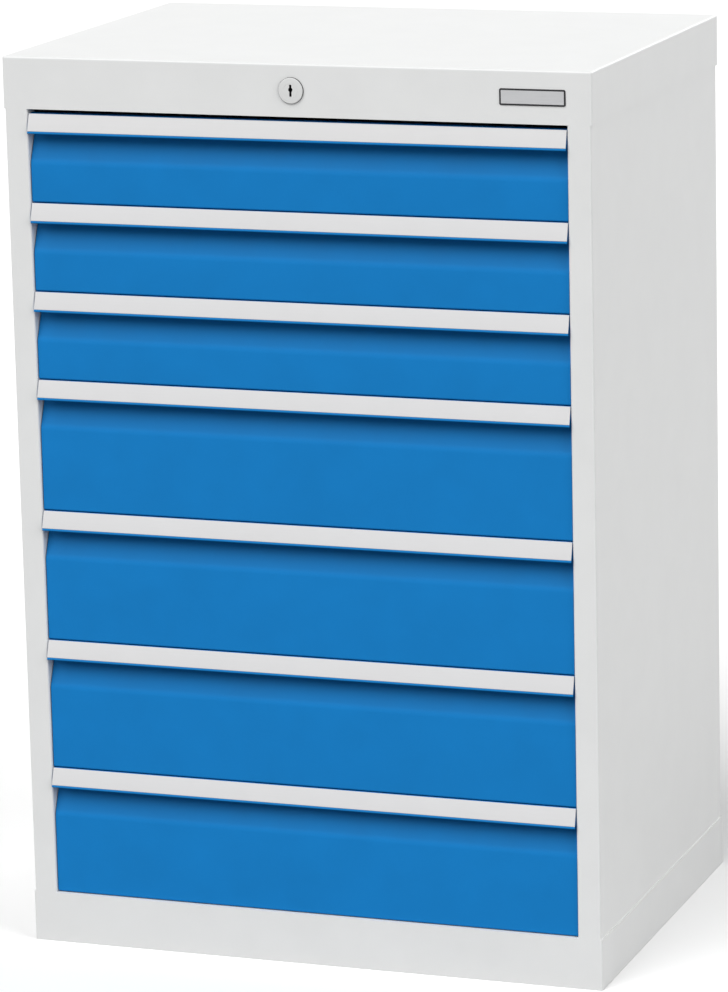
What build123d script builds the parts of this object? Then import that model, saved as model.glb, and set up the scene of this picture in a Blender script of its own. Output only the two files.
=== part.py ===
from build123d import *
import math
import os

# Steel drawer cabinet. Millimetres, front towards -Y, +Z up, origin on the floor
# under the middle of the housing. Depths are measured backwards from the front plane.

# Housing
width = 680.0
rear_space = 69.3
cover_height = 58.0
plinth_height = 58.0
housing_sheet = 1.2
fold_inside = 1.0
side_set_in = 1.5
panel_clearance = 0.3
stile_width = 28.0
stile_return = 20.0
rear_return = 22.0
cover_lip = 20.0
plinth_return = 32.0
floor_hole = 9.0
floor_hole_inset_x = 18.0
floor_hole_inset_y = 40.0

# Drawers, from the top down
drawer_heights = [100.0, 100.0, 100.0, 150.0, 150.0, 150.0, 150.0]
opening_spare = 3.0
top_gap = 5.3
front_gap = 0.9
side_gap = 1.0
drawer_length = 400.0
drawer_sheet = 1.0
tray_lift = 6.3
tray_drop = 8.0
hem_height = 8.0
hem_thickness = 1.0

# Drawer fronts: a folded panel with a finger recess under a tilted grip
panel_set_back = 3.5
recess_depth = 14.5
recess_height = 54.5
recess_slope_height = 32.8
recess_fold = 18.0
recess_lean = 1.0
web_set_back = 3.3
grip_tilt = 17.4
grip_length = 22.7
grip_hem_height = 2.4
grip_hem_thickness = 1.1
front_bottom_flange = 12.0
strip_width = 20.0
strip_thickness = 1.2
strip_chamfer = 0.3
strip_seat_gap = 0.1

# Three-member telescopic runners
runner_thickness = 12.7
runner_offset = 1.7
runner_height = 45.0
runner_sheet = 1.2
runner_overhang = 31.5
runner_front_gap = 3.5
runner_lip = 2.5
runner_centre = 32.0
web_gap = 1.6
mouth_gap = 1.6
cage_height = 4.0
inner_cage_height = 3.3
cage_running_gap = 0.3
cage_side_gap = 0.8

# Uprights with hook slots
upright_width = 40.0
upright_sheet = 1.5
upright_front_gap = 7.0
upright_rear_gap = 2.5
hook_pitch = 50.0
hook_slot_height = 12.0
hook_slot_width = 4.0
hook_plate = 1.5
hook_plate_height = 64.0
hook_plate_width = 24.0
hook_reach = 3.0
hook_clearance = 0.4

# Central lock
lock_rise = 29.0
lock_face = 29.0
lock_proud = 2.0
lock_barrel = 22.0
lock_barrel_length = 28.0
lock_core = 16.0
lock_core_length = 36.0
lock_running_gap = 0.06
lock_nut_flats = 28.0
lock_nut_height = 6.0
nut_sides = 6
keyhole_height = 13.0
keyhole_width = 2.6
keyhole_round = 5.0
keyhole_rise = 1.0
keyhole_depth = 12.0
shaft_size = 8.0
crank_gap = 5.0
crank_radius = 8.5
crank_width = 14.0
crank_thickness = 5.0
crank_pin = 6.0
crank_start_angle = -135.0
bar_width = 30.0
bar_thickness = 3.0
bar_gap = 2.0
bar_top_margin = 12.0
bar_slot_gap = 0.6
catch_reach = 44.0
catch_sheet = 2.0
catch_width = 24.0
catch_plate_height = 24.0
catch_rise = 45.0
catch_lip = 14.0
hook_width = 16.0
hook_thickness = 3.0
hook_gap = 2.0
hook_spare = 1.0
hook_position = 15.0
guided_drawers = [1, 4, 6]
guide_rise = 45.0
guide_height = 20.0
guide_sheet = 1.5
guide_gap = 0.4
guide_lip = 4.0
guide_foot = 18.0
bearing_gap = 15.0
bearing_sheet = 2.0
bearing_width = 30.0
bearing_drop = 12.0
bearing_foot = 16.0

# Name plate, left bare
plate_length = 74.0
plate_width = 18.0
plate_thickness = 0.8
plate_corner = 2.0
plate_inset = 29.0
plate_rise = 29.0

# Values that follow from the sizes above
drawer_count = len(drawer_heights)
housing_fold = housing_sheet + fold_inside
drawer_fold = drawer_sheet + fold_inside
side_outside = width / 2 - side_set_in
side_inside = side_outside - housing_sheet
opening_half = width / 2 - stile_width
opening_top = plinth_height + sum(drawer_heights) + opening_spare
height = opening_top + cover_height
cover_underside = height - housing_sheet
front_half = opening_half - side_gap
recess_back = panel_set_back + recess_depth
tray_front = recess_back + drawer_sheet
tray_half = opening_half + runner_offset - runner_thickness
tray_rear = tray_front + drawer_length + 2 * drawer_sheet
back_inside = tray_rear + rear_space
depth = back_inside + housing_sheet + side_set_in
front_plane = -depth / 2
runner_plane = tray_half + runner_thickness
runner_front = tray_front + runner_front_gap
runner_rear = tray_rear + runner_overhang
upright_face = runner_plane + hook_plate
upright_starts = [tray_front + upright_front_gap, runner_rear - upright_rear_gap - upright_width]
bar_front = tray_rear + catch_reach + bar_gap
bar_rear = bar_front + bar_thickness
shaft_end = bar_front - crank_gap - crank_thickness
lock_height = opening_top + lock_rise
bar_lift = crank_radius * math.sqrt(2)
hook_rise = bar_lift - hook_gap + hook_spare
drawer_tops = [opening_top - top_gap - sum(drawer_heights[:i]) for i in range(drawer_count)]


def block(x0, x1, d0, d1, z0, z1):
    """Box between two X, two depths behind the front plane, and two heights."""
    size = (x1 - x0, d1 - d0, z1 - z0)
    centre = ((x0 + x1) / 2, front_plane + (d0 + d1) / 2, (z0 + z1) / 2)
    return Pos(*centre) * Box(*size)


def along_x(sketch, x0, x1):
    """Extrude a section drawn in depth and height from x0 to x1."""
    plane = Plane((x0, front_plane, 0), x_dir=(0, 1, 0), z_dir=(1, 0, 0))
    return extrude(plane * sketch, amount=x1 - x0, dir=plane.z_dir)


def along_y(sketch, d0, d1):
    """Extrude a section drawn in X and height from depth d0 to d1."""
    plane = Plane((0, front_plane + d1, 0), x_dir=(1, 0, 0), z_dir=(0, -1, 0))
    return extrude(plane * sketch, amount=d1 - d0, dir=plane.z_dir)


def along_z(sketch, z0, z1):
    """Extrude a section drawn in X and depth from z0 to z1."""
    plane = Plane((0, front_plane, z0))
    return extrude(plane * sketch, amount=z1 - z0, dir=plane.z_dir)


def folded(points, thickness, radii, side):
    """Section of a sheet folded along the points, with its thickness on one side.

    Radii is one outer radius for all folds, or one for each, where 0 is a sharp fold.
    """
    path = FilletPolyline(*points, radius=radii) if radii else Polyline(*points)
    outline = offset(path, amount=thickness, side=side, closed=True, kind=Kind.INTERSECTION)
    return make_face(outline.edges())


def rectangle(a0, a1, b0, b1):
    """Flat rectangle between two values on each axis of a section."""
    return Pos((a0 + a1) / 2, (b0 + b1) / 2) * Rectangle(a1 - a0, b1 - b0)


def both_sides(solid):
    """A solid and its mirror image on the other side of the cabinet."""
    return [solid, mirror(solid, about=Plane.YZ)]


def side_panel():
    """Right side: front stile with its return, side wall and rear return."""
    rear = (side_outside - rear_return, back_inside)
    corner = (side_outside, back_inside)
    stile = [(opening_half, stile_return), (opening_half, 0), (side_outside, 0)]
    lower = folded(stile + [corner, rear], housing_sheet, housing_fold, Side.LEFT)
    wall = [(side_outside, housing_fold), corner, rear]
    upper = folded(wall, housing_sheet, housing_fold, Side.LEFT)
    panel = along_z(lower, plinth_height, opening_top)
    return panel + along_z(upper, opening_top, cover_underside)


def back_panel():
    """Flat back, lying on the rear returns of the sides."""
    half = side_outside - housing_fold
    return block(-half, half, back_inside, back_inside + housing_sheet, plinth_height, cover_underside)


def folded_pan(z0, z1, round_top):
    """Rectangular pan, open below, with rounded corners and a rounded or a sharp top edge."""
    outer = block(-width / 2, width / 2, 0, depth, z0, z1)
    folds = outer.edges().filter_by(Axis.Z)
    if round_top:
        folds += outer.edges().group_by(Axis.Z)[-1]
    outer = fillet(folds, housing_fold)
    half = width / 2 - housing_sheet
    inner = block(-half, half, housing_sheet, depth - housing_sheet, z0, z1 - housing_sheet)
    inner = fillet(inner.edges().filter_by(Axis.Z), fold_inside)
    return outer - inner


def top_cover():
    """Cover with a deep band all round, and a stiffening strip over the drawer opening."""
    cover = folded_pan(opening_top, height, True)
    half = side_inside - panel_clearance
    strip = block(-half, half, housing_sheet, cover_lip, opening_top, opening_top + housing_sheet)
    lock_hole = Pos(0, lock_height) * Circle(lock_barrel / 2 + panel_clearance / 2)
    return Compound([cover - along_y(lock_hole, 0, housing_sheet), strip])


def floor_holes():
    """Centres of the four floor fixing holes."""
    x = width / 2 - floor_hole_inset_x
    y = depth / 2 - floor_hole_inset_y
    return [(sx * x, sy * y) for sx in (-1, 1) for sy in (-1, 1)]


def base_plinth():
    """Plinth with the cabinet floor on top and returns with holes on the ground."""
    plinth = folded_pan(0, plinth_height, False)
    half = width / 2 - fold_inside
    ring = rectangle(-half, half, fold_inside, depth - fold_inside)
    inside_half = width / 2 - plinth_return
    ring -= rectangle(-inside_half, inside_half, plinth_return, depth - plinth_return)
    for x, y in floor_holes():
        ring -= Pos(x, y - front_plane) * Circle(floor_hole / 2)
    return plinth + along_z(ring, 0, housing_sheet)


def upright(depth_start):
    """Channel post between the side wall and the runners, with a column of hook slots."""
    depth_end = depth_start + upright_width
    points = [(side_inside, depth_start), (upright_face, depth_start),
              (upright_face, depth_end), (side_inside, depth_end)]
    post = along_z(folded(points, upright_sheet, 0, Side.RIGHT), plinth_height, cover_underside)
    middle = depth_start + upright_width / 2
    slots = []
    height_of_slot = hook_heights()[0]
    while height_of_slot > plinth_height + hook_slot_height / 2:
        slots.append(block(upright_face, upright_face + upright_sheet,
                           middle - hook_slot_width / 2, middle + hook_slot_width / 2,
                           height_of_slot - hook_slot_height / 2, height_of_slot + hook_slot_height / 2))
        height_of_slot -= hook_pitch
    return post - slots


def tray_bottom(index):
    """Underside of a drawer's tray."""
    return drawer_tops[index] - drawer_heights[index] + tray_lift


def tray_top(index):
    """Upper rim of a drawer's tray."""
    return drawer_tops[index] - tray_drop


def runner_level(index):
    """Height of the middle of a drawer's runners."""
    return tray_bottom(index) + runner_centre


def hook_heights():
    """Heights of the upper hook slots that the seven runners use, top first."""
    return [runner_level(i) + hook_pitch / 2 for i in range(drawer_count)]


def c_section(back, open_edge, half_height):
    """C-shaped runner section with its web at x=back and lips along its open edge."""
    towards = math.copysign(1, open_edge - back)
    section = rectangle(*sorted((back, open_edge)), -half_height, half_height)
    web_inside = back + towards * runner_sheet
    lip_inside = open_edge - towards * runner_sheet
    hollow = half_height - runner_sheet
    section -= rectangle(*sorted((web_inside, lip_inside)), -hollow, hollow)
    mouth = hollow - runner_lip
    return section - rectangle(*sorted((lip_inside, open_edge)), -mouth, mouth)


def cabinet_runner(index):
    """Fixed member of a right-hand runner with the two plates that hook into the uprights."""
    level = runner_level(index)
    section = c_section(runner_plane, tray_half + mouth_gap, runner_height / 2)
    runner = along_y(Pos(0, level) * section, runner_front, runner_rear)
    for start in upright_starts:
        middle = start + upright_width / 2
        runner += block(runner_plane, upright_face,
                        middle - hook_plate_width / 2, middle + hook_plate_width / 2,
                        level - hook_plate_height / 2, level + hook_plate_height / 2)
        tab_half = hook_slot_width / 2 - hook_clearance
        tab_height_half = hook_slot_height / 2 - hook_clearance
        tab_level = level + hook_pitch / 2
        runner += block(upright_face, upright_face + hook_reach,
                        middle - tab_half, middle + tab_half,
                        tab_level - tab_height_half, tab_level + tab_height_half)
    return runner


def middle_half_height():
    """Half height of a runner's middle member, inside the fixed one and its ball cages."""
    return runner_height / 2 - runner_sheet - cage_running_gap - cage_height


def drawer_half_height():
    """Half height of a runner's drawer member, inside the middle one and its ball cages."""
    return middle_half_height() - runner_sheet - cage_running_gap - inner_cage_height


def middle_runner(index):
    """Middle member of a right-hand runner and its four ball cages."""
    level = runner_level(index)
    back = runner_plane - runner_sheet - web_gap
    open_edge = tray_half + mouth_gap
    half_height = middle_half_height()
    start = runner_front
    end = runner_rear
    member = c_section(back, open_edge, half_height)
    solids = [along_y(Pos(0, level) * member, start, end)]
    lip_inside = open_edge + runner_sheet + cage_side_gap
    for sign in (-1, 1):
        outer = sorted((sign * half_height, sign * (half_height + cage_height)))
        solids.append(block(lip_inside, back, start, end, level + outer[0], level + outer[1]))
        seat = half_height - runner_sheet
        inner = sorted((sign * seat, sign * (seat - inner_cage_height)))
        solids.append(block(lip_inside, back - runner_sheet - cage_side_gap, start, end,
                            level + inner[0], level + inner[1]))
    return solids


def drawer_runner(index):
    """Member of a right-hand runner that is fixed to the drawer's side wall."""
    level = runner_level(index)
    open_edge = runner_plane - 2 * (runner_sheet + web_gap)
    section = c_section(tray_half, open_edge, drawer_half_height())
    return along_y(Pos(0, level) * section, runner_front, tray_rear)


def tray(index):
    """Drawer box welded from a floor and four walls, with a hemmed rim on its sides and rear."""
    bottom = tray_bottom(index)
    top = tray_top(index)
    hem_start = top - hem_height
    half = tray_half - drawer_sheet
    hem_half = tray_half + hem_thickness
    front = tray_front + drawer_sheet
    rear = tray_rear - drawer_sheet
    floor = block(-half, half, front, rear, bottom, bottom + drawer_sheet)
    front_wall = block(-half, half, tray_front, front, bottom, top)
    rear_wall = block(-half, half, rear, tray_rear, bottom, top)
    rear_wall += block(-hem_half, hem_half, tray_rear, tray_rear + hem_thickness, hem_start, top)
    side_wall = block(half, tray_half, tray_front, tray_rear, bottom, top)
    side_wall += block(tray_half, hem_half, tray_front, tray_rear, hem_start, top)
    return Compound([floor, front_wall, rear_wall] + both_sides(side_wall))


def panel_bottom(index):
    """Lower edge of a drawer front: just above the next grip, or above the plinth."""
    return max(drawer_tops[index] - drawer_heights[index], plinth_height) + front_gap


def grip_point(index, along, out):
    """Point beside the grip's face: a distance down the slope and one out of it."""
    tilt = math.radians(grip_tilt)
    back = web_set_back - along * math.sin(tilt) - out * math.cos(tilt)
    return (back, drawer_tops[index] - along * math.cos(tilt) + out * math.sin(tilt))


def front_panel(index):
    """One folded sheet: flanges, face, finger recess, web and tilted grip with a hemmed edge."""
    top = drawer_tops[index]
    bottom = panel_bottom(index)
    web_under = top - drawer_sheet
    grip_inside_top = grip_point(index, drawer_sheet, -drawer_sheet)
    grip_inside_end = grip_point(index, grip_length, -drawer_sheet)
    tilt = math.radians(grip_tilt)
    rise = web_under - grip_inside_top[1]
    grip_corner = (grip_inside_top[0] + rise * math.tan(tilt), web_under)
    slope_top = top - recess_height + recess_slope_height
    points = [(tray_front, bottom + front_bottom_flange), (tray_front, bottom), (panel_set_back, bottom),
              (panel_set_back, top - recess_height), (recess_back - recess_lean, slope_top),
              (recess_back, web_under), grip_corner, grip_inside_end]
    radii = [0, drawer_fold, recess_fold, drawer_fold, 0, drawer_fold]
    section = folded(points, drawer_sheet, radii, Side.RIGHT)
    hem = [grip_point(index, grip_length - grip_hem_height, 0), grip_point(index, grip_length, 0),
           grip_point(index, grip_length, grip_hem_thickness),
           grip_point(index, grip_length - grip_hem_height, grip_hem_thickness)]
    section += Polygon(*hem, align=None)
    panel = along_x(section, -front_half, front_half)
    inset = drawer_sheet / 2
    face = panel_set_back + inset
    slope_end = (recess_back - recess_lean + inset, slope_top)
    cheek = Polygon((face, bottom + inset), (face, top - recess_height), slope_end,
                    (recess_back + inset, web_under + inset), (tray_front, web_under + inset),
                    (tray_front, bottom + inset), align=None)
    for start in (-front_half, front_half - drawer_sheet):
        panel += along_x(cheek, start, start + drawer_sheet)
    return panel


def label_strip(index):
    """Plain strip that covers the grip's face above its hem."""
    end = grip_length - grip_hem_height - strip_seat_gap
    start = end - strip_width
    points = [(start, 0), (end, 0), (end, strip_thickness - strip_chamfer),
              (end - strip_chamfer, strip_thickness), (start + strip_chamfer, strip_thickness),
              (start, strip_thickness - strip_chamfer)]
    section = Polygon(*[grip_point(index, along, out) for along, out in points], align=None)
    return along_x(section, -front_half, front_half)


def catch_level(index):
    """Height of the arm of a drawer's lock catch."""
    return tray_bottom(index) + catch_rise


def lock_catch(index):
    """Bracket on the drawer's rear wall whose turned-down end the lock bar's hook holds."""
    level = catch_level(index)
    half = catch_width / 2
    end = tray_rear + catch_reach
    plate = block(-half, half, tray_rear, tray_rear + catch_sheet, level - catch_plate_height, level)
    arm = block(-half, half, tray_rear, end, level - catch_sheet, level)
    lip = block(-half, half, end - catch_sheet, end, level - catch_lip, level)
    return plate + arm + lip


def crank_pin_position():
    """X and height of the crank pin with the lock open."""
    angle = math.radians(crank_start_angle)
    return (crank_radius * math.cos(angle), lock_height + crank_radius * math.sin(angle))


def lock_bar():
    """Upright bar with a slot for the crank pin and a bent hook for each drawer."""
    pin_x, pin_z = crank_pin_position()
    half = bar_width / 2
    top = lock_height + bar_top_margin
    lowest = catch_level(drawer_count - 1) - catch_lip - hook_gap - hook_rise
    bar = block(-half, half, bar_front, bar_rear, lowest - hook_rise, top)
    reach = crank_radius - abs(pin_x)
    slot_half_height = crank_pin / 2 + bar_slot_gap
    slot = rectangle(pin_x - reach - slot_half_height, pin_x + slot_half_height,
                     pin_z - slot_half_height, pin_z + slot_half_height)
    bar -= along_y(slot, bar_front, bar_rear)
    hook_half = hook_width / 2
    for index in range(drawer_count):
        tip = catch_level(index) - catch_lip - hook_gap
        foot = tip - hook_rise
        front = bar_front - hook_position
        bar += block(-hook_half, hook_half, front, bar_front, foot - hook_thickness, foot)
        bar += block(-hook_half, hook_half, front, front + hook_thickness, foot - hook_thickness, tip)
    return bar


def bar_guide(index):
    """Bracket on the back panel that the lock bar slides in, above one drawer's catch."""
    level = catch_level(index) + guide_rise
    inside = bar_width / 2 + guide_gap
    outside = inside + guide_sheet
    front = bar_front - guide_gap
    rear = bar_rear + guide_gap
    section = rectangle(-outside, outside, front - guide_sheet, back_inside)
    section -= rectangle(-inside, inside, front, rear)
    section -= rectangle(-inside + guide_lip, inside - guide_lip, front - guide_sheet, front)
    section -= rectangle(-inside, inside, rear + guide_sheet, back_inside)
    for sign in (-1, 1):
        section += rectangle(*sorted((sign * outside, sign * (outside + guide_foot))),
                             back_inside - guide_sheet, back_inside)
    return along_z(section, level - guide_height / 2, level + guide_height / 2)


def lock_housing():
    """Round face and barrel of the lock, through the cover's band."""
    centre = Pos(0, lock_height)
    face = along_y(centre * Circle(lock_face / 2), -lock_proud, 0)
    barrel = along_y(centre * Circle(lock_barrel / 2), 0, lock_barrel_length)
    bore = along_y(centre * Circle(lock_core / 2 + lock_running_gap), -lock_proud, lock_barrel_length)
    return face + barrel - bore


def lock_nut():
    """Hexagonal nut that clamps the lock to the cover from inside."""
    centre = Pos(0, lock_height)
    section = centre * RegularPolygon(lock_nut_flats / 2, nut_sides, major_radius=False)
    section -= centre * Circle(lock_barrel / 2 + lock_running_gap)
    return along_y(section, housing_sheet, housing_sheet + lock_nut_height)


def lock_core_piece():
    """Turning core with its keyhole."""
    core = along_y(Pos(0, lock_height) * Circle(lock_core / 2), -lock_proud, lock_core_length)
    keyhole = Pos(0, lock_height) * Rectangle(keyhole_width, keyhole_height)
    keyhole += Pos(0, lock_height + keyhole_rise) * Circle(keyhole_round / 2)
    return core - along_y(keyhole, -lock_proud, keyhole_depth)


def lock_shaft():
    """Round shaft from the lock's core to the crank at the rear."""
    return along_y(Pos(0, lock_height) * Circle(shaft_size / 2), lock_core_length, shaft_end)


def lock_crank():
    """Flat crank at the shaft's rear end with the pin that lifts the lock bar."""
    pin_x, pin_z = crank_pin_position()
    centre = Pos(pin_x / 2, (lock_height + pin_z) / 2)
    arm = centre * Rot(0, 0, crank_start_angle) * Rectangle(crank_radius + crank_width, crank_width)
    pin_start = shaft_end + crank_thickness
    pin = along_y(Pos(pin_x, pin_z) * Circle(crank_pin / 2), pin_start, bar_rear + crank_pin / 2)
    return along_y(arm, shaft_end, pin_start) + pin


def shaft_bearing():
    """Angle bracket under the cover that carries the shaft's rear end."""
    half = bearing_width / 2
    plate_end = shaft_end - bearing_gap
    plate_start = plate_end - bearing_sheet
    bracket = block(-half, half, plate_start, plate_end, lock_height - bearing_drop, cover_underside)
    bracket += block(-half, half, plate_start - bearing_foot, plate_end,
                     cover_underside - bearing_sheet, cover_underside)
    bore = Pos(0, lock_height) * Circle(shaft_size / 2 + lock_running_gap)
    return bracket - along_y(bore, plate_start, plate_end)


def name_plate():
    """Bare plate with rounded corners on the cover's band."""
    centre = Pos(width / 2 - plate_inset - plate_length / 2, opening_top + plate_rise)
    outline = centre * RectangleRounded(plate_length, plate_width, plate_corner)
    return along_y(outline, -plate_thickness, 0)


def build():
    """Every node of the cabinet by name."""
    right_side = side_panel()
    fixed = [cabinet_runner(i) for i in range(drawer_count)]
    posts = [upright(start) for start in upright_starts]
    nodes = {
        "side_panel_right": right_side,
        "side_panel_left": mirror(right_side, about=Plane.YZ),
        "back_panel": back_panel(),
        "top_cover": top_cover(),
        "base_plinth": base_plinth(),
        "uprights": Compound([copy for post in posts for copy in both_sides(post)]),
        "cabinet_runners_right": Compound(fixed),
        "cabinet_runners_left": Compound([mirror(runner, about=Plane.YZ) for runner in fixed]),
        "name_plate": name_plate(),
        "lock_housing": lock_housing(),
        "lock_nut": lock_nut(),
        "lock_core": lock_core_piece(),
        "lock_shaft": lock_shaft(),
        "lock_crank": lock_crank(),
        "lock_shaft_bearing": shaft_bearing(),
        "lock_bar": lock_bar(),
        "lock_bar_guides": Compound([bar_guide(index) for index in guided_drawers]),
    }
    for index in range(drawer_count):
        name = f"drawer_{index + 1}"
        nodes[f"{name}_tray"] = tray(index)
        nodes[f"{name}_front"] = front_panel(index)
        nodes[f"{name}_label_strip"] = label_strip(index)
        nodes[f"{name}_runners"] = Compound(both_sides(drawer_runner(index)))
        middle = [copy for solid in middle_runner(index) for copy in both_sides(solid)]
        nodes[f"{name}_middle_runners"] = Compound(middle)
        nodes[f"{name}_lock_catch"] = lock_catch(index)
    return nodes


os.makedirs("parts", exist_ok=True)
for node, shape in build().items():
    export_step(shape, f"parts/{node}.step")
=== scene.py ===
"""Looks of a sheet-steel drawer cabinet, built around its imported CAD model."""

import logging
import math
from dataclasses import dataclass, field
from enum import Enum
from typing import ClassVar, Iterable, Sequence, Union

import bmesh
import bpy
from mathutils import Matrix, Vector


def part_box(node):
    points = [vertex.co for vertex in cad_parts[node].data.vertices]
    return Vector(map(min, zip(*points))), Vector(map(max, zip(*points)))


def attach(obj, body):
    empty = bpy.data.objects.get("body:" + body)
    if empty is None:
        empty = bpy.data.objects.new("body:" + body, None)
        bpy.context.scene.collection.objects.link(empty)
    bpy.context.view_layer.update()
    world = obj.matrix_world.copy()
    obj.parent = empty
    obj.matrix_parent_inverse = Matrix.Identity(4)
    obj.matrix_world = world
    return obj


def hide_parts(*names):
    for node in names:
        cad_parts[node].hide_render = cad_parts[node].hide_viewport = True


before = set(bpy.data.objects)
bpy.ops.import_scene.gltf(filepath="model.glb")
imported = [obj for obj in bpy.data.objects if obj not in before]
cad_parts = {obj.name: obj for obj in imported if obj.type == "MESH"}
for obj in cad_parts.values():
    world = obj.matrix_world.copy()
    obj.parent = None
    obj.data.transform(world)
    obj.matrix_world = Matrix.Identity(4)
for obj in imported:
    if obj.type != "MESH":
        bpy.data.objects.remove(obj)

log = logging.getLogger("cabinet")

MM = 0.001
NEAR = 1e-6
ALIGNED = 0.9
FULL_TURN = 2 * math.pi
CABINET = "cabinet"
DRAWER_COUNT = 7

Colour = tuple[float, float, float]
Operand = Union["Signal", float, Sequence[float]]

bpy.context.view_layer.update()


class Slot(Enum):
    """Material slots of the record. Nothing in this script reads them; its pieces take their materials from
    the finish shelf.
    """

    GREY_COAT = "light_grey_coat"
    BLUE_COAT = "blue_coat"
    STRIP = "strip_white"
    LOCK_METAL = "lock_metal"
    PLATE = "plate_aluminium"
    ZINC = "zinc_plated_steel"


class Axis(Enum):
    """The index of each coordinate."""

    X = 0
    Y = 1
    Z = 2

    @property
    def direction(self) -> Vector:
        """Return the unit vector along this axis."""
        return Vector([float(i == self.value) for i in range(3)])


class Grain(Enum):
    """How many finer layers a noise has."""

    SMOOTH = 1.0
    SOFT = 2.0
    ROUGH = 3.0


@dataclass(frozen=True)
class Signal:
    """One output of a node, with arithmetic that adds Math nodes."""

    tree: "ShaderTree"
    socket: bpy.types.NodeSocket

    def _math(self, operation: str, *operands: Operand) -> "Signal":
        """Add one Math node.

        Args:
            operation: The node's operation.
            *operands: Its inputs in order.

        Returns:
            The node's result.
        """
        sockets = dict(enumerate(operands))
        return self.tree.signal("ShaderNodeMath", "Value", {"operation": operation}, sockets)

    def __add__(self, other: Operand) -> "Signal":
        """Return the sum."""
        return self._math("ADD", self, other)

    def __sub__(self, other: Operand) -> "Signal":
        """Return the difference."""
        return self._math("SUBTRACT", self, other)

    def __rsub__(self, other: Operand) -> "Signal":
        """Return a number less this signal."""
        return self._math("SUBTRACT", other, self)

    def __mul__(self, other: Operand) -> "Signal":
        """Return the product."""
        return self._math("MULTIPLY", self, other)

    def __pow__(self, exponent: Operand) -> "Signal":
        """Return this signal to a power."""
        return self._math("POWER", self, exponent)

    __radd__ = __add__
    __rmul__ = __mul__

    def blend(self, other: "Signal", share: float) -> "Signal":
        """Return this signal by its share and another by the rest."""
        return self * share + other * (1 - share)

    def swing(self, middle: Operand, span: float) -> "Signal":
        """Turn noise about 0.5 into a value about another middle.

        Args:
            middle: What 0.5 becomes.
            span: How far the result moves as the noise goes from 0 to 1.

        Returns:
            The new value.
        """
        return middle + span * (self - 0.5)

    def step(self, start: float, end: float) -> "Signal":
        """Rise smoothly from 0 to 1.

        Args:
            start: The value where the result is 0.
            end: The value where the result is 1.

        Returns:
            The smooth step, between 0 and 1.
        """
        sockets = {"Value": self, "From Min": start, "From Max": end}
        settings = {"interpolation_type": "SMOOTHSTEP"}
        return self.tree.signal("ShaderNodeMapRange", "Result", settings, sockets)


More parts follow.
